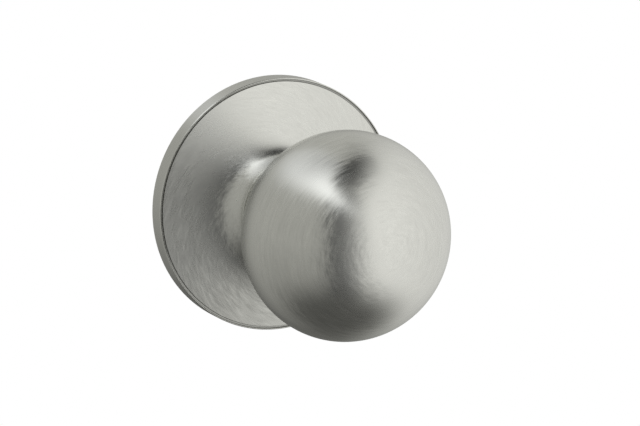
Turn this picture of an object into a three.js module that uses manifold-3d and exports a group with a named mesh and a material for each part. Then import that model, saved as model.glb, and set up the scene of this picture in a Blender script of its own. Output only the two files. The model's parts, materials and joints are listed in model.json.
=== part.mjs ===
// Ball-shaped passage door knob: the outside half of a knob set, with its round rose, spring cage,
// spindle and mounting posts. Millimetres, +Z up. The knob's axis is the Y axis and the knob points
// towards -Y. The origin is the middle of the spindle's free end.
//
// Inside the exported group the pieces are drawn with +Y pointing out of the door and y = 0 on the
// door's face, so that a turned profile reads as [radius, distance out of the door]. Distances below
// zero are inside the door.
import * as THREE from "three";
import { mergeVertices } from "three/addons/utils/BufferGeometryUtils.js";
import Module from "manifold-3d";

const wasm = await Module();
wasm.setup();

// Driving dimensions
const ROSE_R = 33.35;
const ROSE_WALL_OUT = 4.7;
const ROSE_SHEET = 1.0;
const COLLAR_OUT = 15.4;
const KNOB_R = 27.0;
const KNOB_HALF_DEPTH = 24.8;
const KNOB_CENTRE_OUT = 47.1;
const KNOB_MOUTH_OUT = KNOB_CENTRE_OUT - 22.0;
const KNOB_SHEET = 0.9;
const NECK_R = 12.9;
const COLLAR_BORE_R = NECK_R + 0.45;
const SHANK_R = 8.0;
const SHANK_BORE_R = 6.0;
const SHANK_BACK = -16.5;
const SHANK_FRONT = KNOB_CENTRE_OUT - 12.8;
const RING_GROOVE_R = 7.2;
const RING_GROOVE_BACK = -14.8;
const RING_GROOVE_FRONT = -13.55;
const DRIVER_SLOT_FRONT = -6.6;
const SPINDLE_SIDE = 7.9;
const SPINDLE_BACK = -48;
const SPINDLE_FRONT = KNOB_CENTRE_OUT - 0.8;
const SPINDLE_SCORE_OUT = -19;
const PIN_R = 1.5;
const PIN_HALF_LENGTH = 10.2;
const PIN_OUT = KNOB_CENTRE_OUT - 5.8;
const POST_SPACING = 39;
const POST_BACK = -24;
const RUNNING_GAP = 0.15;
const SEAT_GAP = 0.1;
const TURN_LIMIT_DEG = 60;

// Spring cage, behind the backing plate
const PLATE_THICK = 1.6;
const PLATE_BORE_R = 9.6;
const PAN_RIM_R = ROSE_R - ROSE_SHEET - 0.35;
const PAN_RIM_OUT = 3.2;
const CAGE_BORE_R = 14.2;
const CAGE_SHEET = 1.1;
const CAGE_BACK = -10.2;
const CAGE_FLANGE_BACK = -1.3;
const CAGE_TAB_HALF_DEG = 9;
const CAGE_TAB_R = CAGE_BORE_R + 0.4;
const RIVET_CIRCLE_R = 18.5;
const RIVET_R = 1.5;
const RIVET_HOLE_R = RIVET_R + 0.15;
const POST_HOLE_R = 2.75;
const BUSH_SLEEVE_R = PLATE_BORE_R - 0.15;
const WIRE_R = 0.6;
const COIL_R = 9.9;

// Facets round a full turn
const ROSE_FACETS = 48;
const KNOB_FACETS = 44;
const BODY_FACETS = 32;
const POST_FACETS = 14;
const SMALL_FACETS = 10;

const satin = new THREE.MeshStandardMaterial({ color: 0xb9bab4, roughness: 0.36, metalness: 1.0 });
const zincPlate = new THREE.MeshStandardMaterial({ color: 0xb4b7ba, roughness: 0.45, metalness: 1.0 });
const dieCast = new THREE.MeshStandardMaterial({ color: 0x9a9c9e, roughness: 0.6, metalness: 0.9 });
const springSteel = new THREE.MeshStandardMaterial({ color: 0x5c5f63, roughness: 0.4, metalness: 1.0 });
const bareSteel = new THREE.MeshStandardMaterial({ color: 0x8f9194, roughness: 0.42, metalness: 1.0 });
const nylon = new THREE.MeshStandardMaterial({ color: 0xe6e2d6, roughness: 0.55, metalness: 0.0 });

const door = new THREE.Group();
door.rotation.z = Math.PI;
door.position.y = SPINDLE_BACK;

const degrees = (angle) => (angle * Math.PI) / 180;

function piece(name, shape, material) {
  const geometry = shape.isBufferGeometry ? shape : geometryOf(shape);
  const mesh = new THREE.Mesh(geometry, material);
  mesh.name = name;
  door.add(mesh);
}

// A closed three.js geometry as a solid that can be cut and joined.
function solidOf(geometry) {
  const bare = geometry.clone();
  bare.deleteAttribute("normal");
  bare.deleteAttribute("uv");
  const merged = mergeVertices(bare, 1e-4);
  return new wasm.Manifold(
    new wasm.Mesh({
      numProp: 3,
      vertProperties: merged.attributes.position.array,
      triVerts: new Uint32Array(merged.index.array),
    }),
  );
}

function geometryOf(solid) {
  const mesh = solid.getMesh();
  const geometry = new THREE.BufferGeometry();
  geometry.setAttribute("position", new THREE.BufferAttribute(mesh.vertProperties, 3));
  geometry.setIndex(new THREE.BufferAttribute(mesh.triVerts, 1));
  geometry.computeVertexNormals();
  return geometry;
}

// Turned piece about the Y axis. The profile of [radius, out] points starts and ends on the axis,
// or closes on itself, and runs anticlockwise in a plot of out against radius.
function turned(profile, facets = BODY_FACETS) {
  const onAxis = profile[0][0] === 0 && profile.at(-1)[0] === 0;
  const points = profile.map(([radius, out]) => new THREE.Vector2(radius, out));
  if (!onAxis) points.push(points[0].clone());
  return new THREE.LatheGeometry(points, facets);
}

function ring(innerR, outerR, back, front, facets = BODY_FACETS) {
  return turned([[innerR, back], [outerR, back], [outerR, front], [innerR, front]], facets);
}

function rod(radius, back, front, facets = SMALL_FACETS) {
  return turned([[0, back], [radius, back], [radius, front], [0, front]], facets);
}

// Points of an arc of a circle or ellipse in the profile plane, angles in degrees.
function arc(centreR, centreOut, radiusR, radiusOut, fromDeg, toDeg, steps) {
  return Array.from({ length: steps + 1 }, (_, i) => {
    const angle = degrees(fromDeg + ((toDeg - fromDeg) * i) / steps);
    return [centreR + radiusR * Math.cos(angle), centreOut + radiusOut * Math.sin(angle)];
  });
}

// Flat shape in the plane of the door, extruded along the axis from back to front. The shape's
// own x and y become the X and Z of the door.
function plateOf(shape, back, front, curveSegments = 6) {
  const settings = { depth: front - back, bevelEnabled: false, curveSegments };
  return new THREE.ExtrudeGeometry(shape, settings).rotateX(Math.PI / 2).translate(0, front, 0);
}

// Part of a flat ring between two angles, measured from +X towards +Z.
function ringSector(innerR, outerR, fromDeg, toDeg, back, front, steps = 5) {
  const shape = new THREE.Shape();
  shape.absarc(0, 0, outerR, degrees(fromDeg), degrees(toDeg), false);
  shape.absarc(0, 0, innerR, degrees(toDeg), degrees(fromDeg), true);
  return plateOf(shape, back, front, steps);
}

function slotShape(centreX, centreY, length, width) {
  const half = (length - width) / 2;
  const shape = new THREE.Shape();
  shape.absarc(centreX + half, centreY, width / 2, -Math.PI / 2, Math.PI / 2, false);
  shape.absarc(centreX - half, centreY, width / 2, Math.PI / 2, (3 * Math.PI) / 2, false);
  return shape;
}

const RIVET_ANGLES = [45, 135, 225, 315];
const onRivetCircle = (angle) => [
  RIVET_CIRCLE_R * Math.cos(degrees(angle)),
  RIVET_CIRCLE_R * Math.sin(degrees(angle)),
];

function curvePoints(corners, steps) {
  const [start, startPull, endPull, end] = corners.map(([radius, out]) => new THREE.Vector2(radius, out));
  const curve = new THREE.CubicBezierCurve(start, startPull, endPull, end);
  return curve.getPoints(steps).map(({ x, y }) => [x, y]);
}

// Spun rose: a short wall, a rolled bead, a fine groove, and a sloping face that sweeps up like a
// trumpet's bell into a collar round the neck.
function rose() {
  const bead = 0.45;
  const faceSweep = [
    [31.8, 5.1],
    [19.6, 9.0],
    [15.0, 10.8],
    [14.6, COLLAR_OUT - 0.4],
  ];
  const backSweep = [
    [COLLAR_BORE_R, COLLAR_OUT - 0.9],
    [13.95, 10.2],
    [19.3, 8.05],
    [31.7, 4.1],
  ];
  return turned(
    [
      [ROSE_R, 0],
      [ROSE_R, ROSE_WALL_OUT],
      ...arc(ROSE_R - bead, ROSE_WALL_OUT, bead, bead, 30, 150, 2),
      [32.25, 4.75],
      ...curvePoints(faceSweep, 9),
      [14.2, COLLAR_OUT],
      [COLLAR_BORE_R, COLLAR_OUT - 0.15],
      ...curvePoints(backSweep, 5),
      [ROSE_R - ROSE_SHEET, 3.6],
      [ROSE_R - ROSE_SHEET, 0],
    ],
    ROSE_FACETS,
  );
}

// Pressed steel pan that carries the works and that the rose fits over.
function backingPlate() {
  const rimThick = 1.1;
  let pan = solidOf(
    turned(
      [
        [PLATE_BORE_R, 0],
        [PAN_RIM_R, 0],
        [PAN_RIM_R, PAN_RIM_OUT],
        [PAN_RIM_R - rimThick, PAN_RIM_OUT],
        [PAN_RIM_R - rimThick, PLATE_THICK],
        [PLATE_BORE_R, PLATE_THICK],
      ],
      ROSE_FACETS,
    ),
  );
  for (const side of [-1, 1]) {
    const postHole = rod(POST_HOLE_R, -1, 3, POST_FACETS).translate((side * POST_SPACING) / 2, 0, 0);
    pan = pan.subtract(solidOf(postHole));
    const adjustSlot = plateOf(slotShape(0, side * 25.5, 14, 4), -1, 3, 4);
    pan = pan.subtract(solidOf(adjustSlot));
  }
  for (const angle of RIVET_ANGLES) {
    const [x, z] = onRivetCircle(angle);
    pan = pan.subtract(solidOf(rod(RIVET_HOLE_R, -1, 3).translate(x, 0, z)));
  }
  return pan;
}

// Cup riveted to the back of the plate. It holds the return spring, a tab that the spring's legs rest
// on, and two tabs that stop the driver.
function springCage() {
  const wallR = CAGE_BORE_R + CAGE_SHEET;
  const front = -SEAT_GAP;
  const floor = CAGE_BACK + CAGE_SHEET;
  const tabRoot = floor - 0.3;
  let cup = solidOf(
    turned([
      [PLATE_BORE_R, CAGE_BACK],
      [wallR - 0.8, CAGE_BACK],
      [wallR, CAGE_BACK + 0.8],
      [wallR, front],
      [CAGE_BORE_R, front],
      [CAGE_BORE_R, floor],
      [PLATE_BORE_R, floor],
    ]),
  );
  const bore = solidOf(rod(CAGE_BORE_R, floor, 1, BODY_FACETS));
  for (const angle of RIVET_ANGLES) {
    const ear = plateOf(slotShape(RIVET_CIRCLE_R - 3, 0, 13, 6.8), CAGE_FLANGE_BACK, front, 5);
    cup = cup.add(solidOf(ear.rotateY(degrees(-angle))).subtract(bore));
    const [x, z] = onRivetCircle(angle);
    cup = cup.subtract(solidOf(rod(RIVET_HOLE_R, -3, 1).translate(x, 0, z)));
  }
  const [tabFrom, tabTo] = [90 - CAGE_TAB_HALF_DEG, 90 + CAGE_TAB_HALF_DEG];
  cup = cup.add(solidOf(ringSector(12.9, CAGE_TAB_R, tabFrom, tabTo, tabRoot, -1.4)));
  const stopFace = TURN_LIMIT_DEG + 12;
  const stopWide = 9;
  for (const from of [270 - stopFace - stopWide, 270 + stopFace]) {
    cup = cup.add(solidOf(ringSector(12.0, CAGE_TAB_R, from, from + stopWide, tabRoot, -5.5)));
  }
  return cup;
}

// Torsion spring round the shank, with a leg on each side of the tab and of the driver's finger.
function returnSpring() {
  const turns = 3;
  const legDeg = 13.4;
  const legTipR = 13.5;
  const back = -6.2;
  const front = -2.2;
  const sweep = 360 * turns - 2 * legDeg;
  const pointAt = (radius, angle, share) => {
    const a = degrees(angle);
    return new THREE.Vector3(radius * Math.cos(a), back + (front - back) * share, radius * Math.sin(a));
  };
  const points = [pointAt(legTipR, 90 + legDeg, 0), pointAt(COIL_R + 1.2, 90 + legDeg, 0)];
  const steps = turns * 12;
  for (let i = 0; i <= steps; i += 1) {
    const share = i / steps;
    points.push(pointAt(COIL_R, 90 + legDeg + 6 + (sweep - 12) * share, share));
  }
  points.push(pointAt(COIL_R + 1.2, 90 - legDeg, 1), pointAt(legTipR, 90 - legDeg, 1));
  const wire = new THREE.Shape().absarc(0, 0, WIRE_R, 0, 2 * Math.PI, false);
  return new THREE.ExtrudeGeometry(wire, {
    steps: turns * 20 + 4,
    curveSegments: 3,
    extrudePath: new THREE.CatmullRomCurve3(points, false, "centripetal"),
  });
}

function cageRivet(angle) {
  const [x, z] = onRivetCircle(angle);
  const frontSeat = PLATE_THICK + SEAT_GAP;
  const backSeat = CAGE_FLANGE_BACK - SEAT_GAP;
  const profile = [
    [0, backSeat - 0.9],
    [1.7, backSeat - 0.8],
    [2.6, backSeat],
    [RIVET_R, backSeat],
    [RIVET_R, frontSeat],
    [2.6, frontSeat],
    [1.8, frontSeat + 0.8],
    [0, frontSeat + 1.0],
  ];
  return turned(profile, SMALL_FACETS).translate(x, 0, z);
}

// Post staked through the plate. A machine screw from the other side of the door threads into it.
function mountingPost(side) {
  const boreR = 1.75;
  const neckR = POST_HOLE_R - 0.15;
  const profile = [
    [0, -8],
    [boreR, -9],
    [boreR, POST_BACK],
    [2.7, POST_BACK],
    [3.1, POST_BACK + 0.5],
    [3.1, -2.6],
    [3.9, -1.8],
    [3.9, -SEAT_GAP],
    [neckR, -SEAT_GAP],
    [neckR, PLATE_THICK + SEAT_GAP],
    [3.4, PLATE_THICK + SEAT_GAP],
    [2.7, PLATE_THICK + 0.9],
    [0, PLATE_THICK + 1.0],
  ];
  return turned(profile, POST_FACETS).translate((side * POST_SPACING) / 2, 0, 0);
}

// Nylon bush with its flange at flangeFrom..flangeTo and its sleeve reaching to sleeveTo.
function bush(sleeveTo, flangeFrom, flangeTo, flangeR) {
  const innerR = SHANK_R + RUNNING_GAP;
  if (sleeveTo < flangeFrom) {
    return turned([
      [innerR, sleeveTo],
      [BUSH_SLEEVE_R, sleeveTo],
      [BUSH_SLEEVE_R, flangeFrom],
      [flangeR, flangeFrom],
      [flangeR, flangeTo],
      [innerR, flangeTo],
    ]);
  }
  return turned([
    [innerR, flangeFrom],
    [flangeR, flangeFrom],
    [flangeR, flangeTo],
    [BUSH_SLEEVE_R, flangeTo],
    [BUSH_SLEEVE_R, sleeveTo],
    [innerR, sleeveTo],
  ]);
}

// Thin washer with three waves round it, which takes up the knob's end play.
function waveWasher() {
  const [innerR, outerR, halfThick, height, middle] = [8.4, 11.2, 0.18, 0.32, -11.95];
  const geometry = ring(innerR, outerR, middle - halfThick, middle + halfThick, 36);
  const position = geometry.attributes.position;
  for (let i = 0; i < position.count; i += 1) {
    const angle = Math.atan2(position.getZ(i), position.getX(i));
    position.setY(i, position.getY(i) + height * Math.cos(3 * angle));
  }
  return geometry;
}

// Open spring ring that snaps into the groove at the back of the shank.
function retainingRing() {
  const [back, front] = [RING_GROOVE_BACK + 0.2, RING_GROOVE_FRONT - 0.15];
  return ringSector(RING_GROOVE_R + 0.15, 10.4, -60, 240, back, front, 24);
}

// Steel sleeve that runs in the two bushes, with a groove for the retaining ring and two open slots
// that key the spring driver.
function shankTube() {
  let tube = solidOf(
    turned([
      [SHANK_BORE_R, SHANK_BACK],
      [SHANK_R - 0.5, SHANK_BACK],
      [SHANK_R, SHANK_BACK + 0.5],
      [SHANK_R, RING_GROOVE_BACK],
      [RING_GROOVE_R, RING_GROOVE_BACK],
      [RING_GROOVE_R, RING_GROOVE_FRONT],
      [SHANK_R, RING_GROOVE_FRONT],
      [SHANK_R, SHANK_FRONT],
      [SHANK_BORE_R, SHANK_FRONT],
    ]),
  );
  const length = DRIVER_SLOT_FRONT - SHANK_BACK + 1;
  const slot = new THREE.BoxGeometry(2 * SHANK_R + 2, length, 2.6);
  tube = tube.subtract(solidOf(slot.translate(0, DRIVER_SLOT_FRONT - length / 2, 0)));
  return tube;
}

// Hub keyed to the shank: its finger pushes one leg of the spring or the other, and its foot meets
// the cage's stops.
function springDriver() {
  const [back, front] = [-8.7, -7.0];
  let hub = solidOf(ring(SHANK_R + SEAT_GAP, 10.9, back, front));
  const foot = ringSector(10.5, 13.8, 260, 280, back, front);
  const [from, to] = [90 - CAGE_TAB_HALF_DEG, 90 + CAGE_TAB_HALF_DEG];
  const arm = ringSector(10.5, 12.6, from, to, back, front);
  const finger = ringSector(11.2, 12.6, from, to, back, -1.0);
  for (const part of [foot, arm, finger]) hub = hub.add(solidOf(part));
  for (const side of [-1, 1]) {
    const tooth = new THREE.BoxGeometry(2.4, front - back, 2.0);
    hub = hub.add(solidOf(tooth.translate(side * 7.6, (front + back) / 2, 0)));
  }
  return hub;
}

function pinHole() {
  return solidOf(rod(PIN_R + 0.1, -14, 14).rotateZ(Math.PI / 2).translate(0, PIN_OUT, 0));
}

// Square bar that turns the latch inside the door. A shallow score parts the length that the shank
// holds from the length that the latch slides on.
function spindle() {
  const half = SPINDLE_SIDE / 2;
  const flat = half - 0.6;
  const corners = [
    [half, flat],
    [flat, half],
    [-flat, half],
    [-half, flat],
    [-half, -flat],
    [-flat, -half],
    [flat, -half],
    [half, -flat],
  ];
  const section = new THREE.Shape(corners.map(([x, y]) => new THREE.Vector2(x, y)));
  const bar = solidOf(plateOf(section, SPINDLE_BACK, SPINDLE_FRONT));
  const scoreSide = SPINDLE_SIDE - 0.7;
  const scoreBand = new THREE.BoxGeometry(SPINDLE_SIDE + 2, 1, SPINDLE_SIDE + 2);
  const scoreFloor = new THREE.BoxGeometry(scoreSide, 3, scoreSide);
  const score = solidOf(scoreBand).subtract(solidOf(scoreFloor));
  return bar.subtract(score.translate([0, SPINDLE_SCORE_OUT, 0])).subtract(pinHole());
}

function crossPin() {
  return rod(PIN_R, -PIN_HALF_LENGTH, PIN_HALF_LENGTH).rotateZ(Math.PI / 2).translate(0, PIN_OUT, 0);
}

// Die-cast spider inside the ball: hub, five spokes and a rim that backs up the shell.
function knobCore() {
  const hubR = 10.6;
  const seatBack = KNOB_MOUTH_OUT + 3.1;
  const front = KNOB_CENTRE_OUT + 1.2;
  let core = solidOf(
    turned([
      [0, seatBack],
      [13.4, seatBack],
      [13.4, seatBack + 1.7],
      [hubR, seatBack + 3.3],
      [hubR, front - 0.8],
      [hubR - 0.8, front],
      [0, front],
    ]),
  );
  core = core.add(solidOf(ring(22.9, 25.3, KNOB_CENTRE_OUT - 3, KNOB_CENTRE_OUT + 1.2, KNOB_FACETS)));
  const spokes = 5;
  for (let i = 0; i < spokes; i += 1) {
    const spoke = new THREE.BoxGeometry(15, 4.0, 3).translate(16.4, KNOB_CENTRE_OUT - 0.9, 0);
    core = core.add(solidOf(spoke.rotateY((2 * Math.PI * (i + 0.25)) / spokes)));
  }
  core = core.subtract(solidOf(rod(SHANK_R + 0.12, seatBack - 1, SHANK_FRONT + 0.4, BODY_FACETS)));
  const pocketSide = SPINDLE_SIDE + 0.4;
  const pocketLength = SPINDLE_FRONT + 0.5 - SHANK_FRONT;
  const pocket = new THREE.BoxGeometry(pocketSide, pocketLength, pocketSide);
  core = core.subtract(solidOf(pocket.translate(0, SHANK_FRONT + pocketLength / 2, 0)));
  return core.subtract(pinHole());
}

// Neck with a drawn waist. Its back flange runs on the front bush, and its front end is flanged
// over inside the ball.
function knobNeck() {
  const boreR = NECK_R - 1.8;
  const waist = arc(42.6, 17.5, 30, 30, 188.2, 165.7, 5);
  const profile = [
    [SHANK_R + RUNNING_GAP, 3.3],
    [NECK_R - 0.5, 3.3],
    [NECK_R, 3.8],
    ...waist,
    [13.6, KNOB_MOUTH_OUT + 0.2],
    [12.2, KNOB_MOUTH_OUT - 0.35],
    [12.2, KNOB_MOUTH_OUT + 1.4],
    [13.7, KNOB_MOUTH_OUT + 1.95],
    [13.7, KNOB_MOUTH_OUT + 2.8],
    [boreR, KNOB_MOUTH_OUT + 2.8],
    [boreR, 4.6],
    [SHANK_R + RUNNING_GAP, 4.6],
  ];
  return turned(profile, BODY_FACETS);
}

// Spun ball, a little flattened along its axis, closed in at the back round the neck.
function knobShell() {
  const mouthR = 12.5;
  const innerR = KNOB_R - KNOB_SHEET;
  const innerHalfDepth = KNOB_HALF_DEPTH - KNOB_SHEET;
  const mouthDeg = (radius) => -(Math.acos(mouthR / radius) * 180) / Math.PI;
  const outside = arc(0, KNOB_CENTRE_OUT, KNOB_R, KNOB_HALF_DEPTH, mouthDeg(KNOB_R), 90, 14);
  const inside = arc(0, KNOB_CENTRE_OUT, innerR, innerHalfDepth, 90, mouthDeg(innerR), 9);
  outside.at(-1)[0] = 0;
  inside[0][0] = 0;
  const shell = solidOf(turned([[0, outside[0][1]], ...outside], KNOB_FACETS));
  const hollow = solidOf(turned([[0, inside.at(-1)[1]], ...inside.reverse()], KNOB_FACETS));
  const mouth = solidOf(rod(mouthR, outside[0][1] - 1, KNOB_CENTRE_OUT - 15, KNOB_FACETS));
  return shell.subtract(hollow).subtract(mouth);
}

// The fixed half, held to the door
piece("rose", rose(), satin);
piece("backing_plate", backingPlate(), zincPlate);
piece("front_bush", bush(0.1, PLATE_THICK + SEAT_GAP, 2.9, 12.2), nylon);
piece("spring_cage", springCage(), zincPlate);
piece("return_spring", returnSpring(), springSteel);
RIVET_ANGLES.forEach((angle, i) => piece(`cage_rivet_${i + 1}`, cageRivet(angle), bareSteel));
piece("mounting_post_left", mountingPost(1), bareSteel);
piece("mounting_post_right", mountingPost(-1), bareSteel);
piece("rear_bush", bush(-8.95, -11.3, CAGE_BACK - SEAT_GAP, 11.6), nylon);
piece("wave_washer", waveWasher(), springSteel);

// The turning half
piece("knob_shell", knobShell(), satin);
piece("knob_neck", knobNeck(), satin);
piece("knob_core", knobCore(), dieCast);
piece("shank_tube", shankTube(), bareSteel);
piece("spindle", spindle(), bareSteel);
piece("cross_pin", crossPin(), bareSteel);
piece("spring_driver", springDriver(), zincPlate);
piece("rear_washer", ring(SHANK_R + SEAT_GAP, 11.6, -13.5, -12.6), zincPlate);
piece("retaining_ring", retainingRing(), springSteel);

export default door;
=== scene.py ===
"""Looks for the ball door knob: satin nickel outside, plated and turned steel works behind the rose.

Metres, in the CAD frame. The knob's axis is the Y axis and the door's face is the plane y = DOOR_Y.
Turned profiles are lists of (radius, distance out of the door, corner rounding) in millimetres.
"""

import json
import math

import bmesh
import bpy
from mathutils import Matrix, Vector


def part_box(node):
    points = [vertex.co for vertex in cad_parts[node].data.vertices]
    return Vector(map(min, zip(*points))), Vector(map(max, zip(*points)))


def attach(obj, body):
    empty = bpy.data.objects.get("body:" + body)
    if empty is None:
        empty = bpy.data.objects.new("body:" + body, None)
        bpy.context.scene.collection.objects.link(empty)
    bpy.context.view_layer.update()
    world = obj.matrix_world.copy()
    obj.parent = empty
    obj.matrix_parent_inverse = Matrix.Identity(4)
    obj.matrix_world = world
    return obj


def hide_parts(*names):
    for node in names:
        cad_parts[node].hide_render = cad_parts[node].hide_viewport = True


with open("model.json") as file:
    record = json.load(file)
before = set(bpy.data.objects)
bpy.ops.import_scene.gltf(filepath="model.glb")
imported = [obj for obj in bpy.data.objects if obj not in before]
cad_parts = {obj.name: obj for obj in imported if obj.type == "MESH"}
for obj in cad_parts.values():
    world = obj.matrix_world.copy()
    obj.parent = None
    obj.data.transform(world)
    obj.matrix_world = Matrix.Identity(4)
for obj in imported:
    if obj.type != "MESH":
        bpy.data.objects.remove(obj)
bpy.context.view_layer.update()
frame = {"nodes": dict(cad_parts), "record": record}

MM = 0.001
DOOR_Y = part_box("backing_plate")[1].y
TAU = 2 * math.pi
ON_AXIS = 1e-6
FINE = 192
MEDIUM = 96
SMALL = 40


def out_of_door(y):
    """Distance out of the door, in millimetres, of a height y along the knob's axis."""
    return (DOOR_Y - y) / MM


def front_of(node):
    """How far a CAD node stands out of the door, in millimetres."""
    return out_of_door(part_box(node)[0].y)


def at(radius, out, angle):
    """The point, in metres, at a radius and distance out of the door in millimetres."""
    return (radius * MM * math.cos(angle), DOOR_Y - out * MM, radius * MM * math.sin(angle))


# ---------------------------------------------------------------- driving dimensions, millimetres

ROSE_R = 33.35
ROSE_FRONT = front_of("rose")
SHEET = 1.0
BEAD_WIDTH = 0.3
BEAD_OUT = 5.12
GROOVE_INNER_R = ROSE_R - 0.9
GROOVE_FLOOR_OUT = 4.45
FACE_OUT = 4.88
COLLAR_R = 14.6
COLLAR_BORE_R = 13.35

KNOB_R = 27.0
KNOB_HALF_DEPTH = 24.8
KNOB_CENTRE = front_of("knob_shell") - KNOB_HALF_DEPTH
KNOB_WALL = 0.9
KNOB_MOUTH_R = 12.5
NECK_END = KNOB_CENTRE - 22.0

PLATE_FRONT = 1.6
PLATE_BORE_R = 9.6
CAGE_BACK = -10.2
CAGE_WALL_R = 15.3
CAGE_BORE_R = 14.2
FLANGE_BACK = -1.3
FLANGE_FRONT = -0.1
RIVET_HOLE_R = 1.65
POST_HOLE_R = 2.75
CLEARANCE = 0.1
SHANK_R = 8.0
SHANK_BORE_R = 6.0
SHANK_SLOT_FRONT = -6.6
SHANK_SLOT_BACK = -18.5
SHANK_SLOT_HEIGHT = 2.6
RING_GROOVE_R = 7.2
SPINDLE_SIDE = 7.9
RIVETS = ["cage_rivet_1", "cage_rivet_2", "cage_rivet_3", "cage_rivet_4"]
POSTS = ["mounting_post_left", "mounting_post_right"]

# ---------------------------------------------------------------- mesh building


def rounded(profile, step=math.radians(15)):
    """The closed profile with each corner replaced by an arc of its own radius."""
    done = []
    count = len(profile)
    for i, (r, s, radius) in enumerate(profile):
        corner = Vector((r, s))
        if radius <= 0:
            done.append(corner)
            continue
        before = Vector(profile[i - 1][:2]) - corner
        after = Vector(profile[(i + 1) % count][:2]) - corner
        room = 0.48 * min(before.length, after.length)
        before.normalize()
        after.normalize()
        half = before.angle(after) / 2
        if half > math.radians(88):
            done.append(corner)
            continue
        tangent = min(radius / math.tan(half), room)
        radius = tangent * math.tan(half)
        centre = corner + (before + after).normalized() * radius / math.sin(half)
        start = corner + before * tangent - centre
        sweep = math.pi - 2 * half
        if start.x * (after.y * tangent + corner.y - centre.y) < start.y * (
            after.x * tangent + corner.x - centre.x
        ):
            sweep = -sweep
        steps = max(2, round(abs(sweep) / step))
        for k in range(steps + 1):
            angle = sweep * k / steps
            c, n = math.cos(angle), math.sin(angle)
            done.append(centre + Vector((start.x * c - start.y * n, start.x * n + start.y * c)))
    return done


def arc(centre_r, centre_s, radius_r, radius_s, start, end, steps):
    """Profile points along part of an ellipse, between two angles in degrees."""
    points = []
    for k in range(steps + 1):
        angle = math.radians(start + (end - start) * k / steps)
        points.append(
            (centre_r + radius_r * math.cos(angle), centre_s + radius_s * math.sin(angle), 0)
        )
    return points


def bezier(start, pull_start, pull_end, end, steps):
    """Profile points along a cubic curve."""
    points = []
    for k in range(steps + 1):
        t = k / steps
        u = 1 - t
        weights = (u * u * u, 3 * u * u * t, 3 * u * t * t, t * t * t)
        corners = (start, pull_start, pull_end, end)
        r = sum(w * c[0] for w, c in zip(weights, corners))
        s = sum(w * c[1] for w, c in zip(weights, corners))
        points.append((r, s, 0))
    return points


def skin(bm, rings, closed=False):
    """Joins each ring of vertices to the next. A ring of one vertex makes a fan."""
    followers = rings[1:] + rings[:1] if closed else rings[1:]
    for a, b in zip(rings, followers):
        count = max(len(a), len(b))
        if count == 1:
            continue
        for k in range(count):
            m = (k + 1) % count
            if len(a) == 1:
                bm.faces.new((a[0], b[m], b[k]))
            elif len(b) == 1:
                bm.faces.new((a[k], a[m], b[0]))
            else:
                bm.faces.new((a[k], a[m], b[m], b[k]))


def skin_with_ends(bm, rings):
    """Joins each ring to the next and closes both ends with a flat face."""
    skin(bm, rings)
    bm.faces.new(reversed(rings[0]))
    bm.faces.new(rings[-1])


def lathe(bm, profile, segments, centre=(0.0, 0.0), wave=None):
    """Turns a closed profile round an axis parallel to Y into bm. Points on the axis become one vertex."""
    rings = []
    for p in rounded(profile):
        if p.x < ON_AXIS:
            rings.append([bm.verts.new((centre[0] * MM, DOOR_Y - p.y * MM, centre[1] * MM))])
            continue
        ring = []
        for k in range(segments):
            angle = TAU * k / segments
            lift = wave(angle) if wave else 0.0
            x, y, z = at(p.x, p.y + lift, angle)
            ring.append(bm.verts.new((x + centre[0] * MM, y, z + centre[1] * MM)))
        rings.append(ring)
    skin(bm, rings, closed=True)


def sector(bm, inner, outer, start, end, back, front, bevel, steps=16):
    """A bevelled piece of a flat ring between two angles in degrees."""
    part = bmesh.new()
    rows = []
    for k in range(steps + 1):
        angle = math.radians(start + (end - start) * k / steps)
        corners = ((inner, back), (outer, back), (outer, front), (inner, front))
        rows.append([part.verts.new(at(r, s, angle)) for r, s in corners])
    skin_with_ends(part, rows)
    bevel_sharp(part, bevel)
    absorb(bm, part)


def bevel_sharp(bm, width, angle=40):
    """Rounds off every edge of bm that turns by more than an angle in degrees."""
    bmesh.ops.recalc_face_normals(bm, faces=bm.faces)
    sharp = [e for e in bm.edges if e.is_manifold and e.calc_face_angle() > math.radians(angle)]
    bmesh.ops.bevel(bm, geom=sharp, offset=width * MM, segments=2, profile=0.5, affect="EDGES")


def absorb(bm, part):
    """Adds the mesh part to bm and frees part."""
    data = bpy.data.meshes.new("part")
    part.to_mesh(data)
    part.free()
    bm.from_mesh(data)
    bpy.data.meshes.remove(data)


def circle_loop(x, z, radius, count):
    """A circle round (x, z) in millimetres."""
    return [
        (x + radius * math.cos(TAU * k / count), z + radius * math.sin(TAU * k / count))
        for k in range(count)
    ]


def slot_loop(x, z, length, width, count=12):
    """A level slot round (x, z) in millimetres."""
    points = []
    for side, start in ((1, -90), (-1, 90)):
        for k in range(count + 1):
            angle = math.radians(start + 180 * k / count)
            along = side * (length - width) / 2 + width / 2 * math.cos(angle)
            points.append((x + along, z + width / 2 * math.sin(angle)))
    return points


def polar_loop(radius_at, count=360):
    """A closed outline whose radius is a function of the angle in degrees."""
    points = []
    for k in range(count):
        degrees = 360 * k / count
        r = radius_at(degrees)
        points.append((r * math.cos(math.radians(degrees)), r * math.sin(math.radians(degrees))))
    return points


def soften(values, passes):
    """A closed row of numbers, averaged with its neighbours a few times over."""
    for _ in range(passes):
        values = [
            (values[i - 1] + 2 * v + values[(i + 1) % len(values)]) / 4 for i, v in enumerate(values)
        ]
    return values


def near(degrees, middle, half):
    """Whether an angle lies within half of middle, in degrees."""
    return abs((degrees - middle + 180) % 360 - 180) <= half


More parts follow.
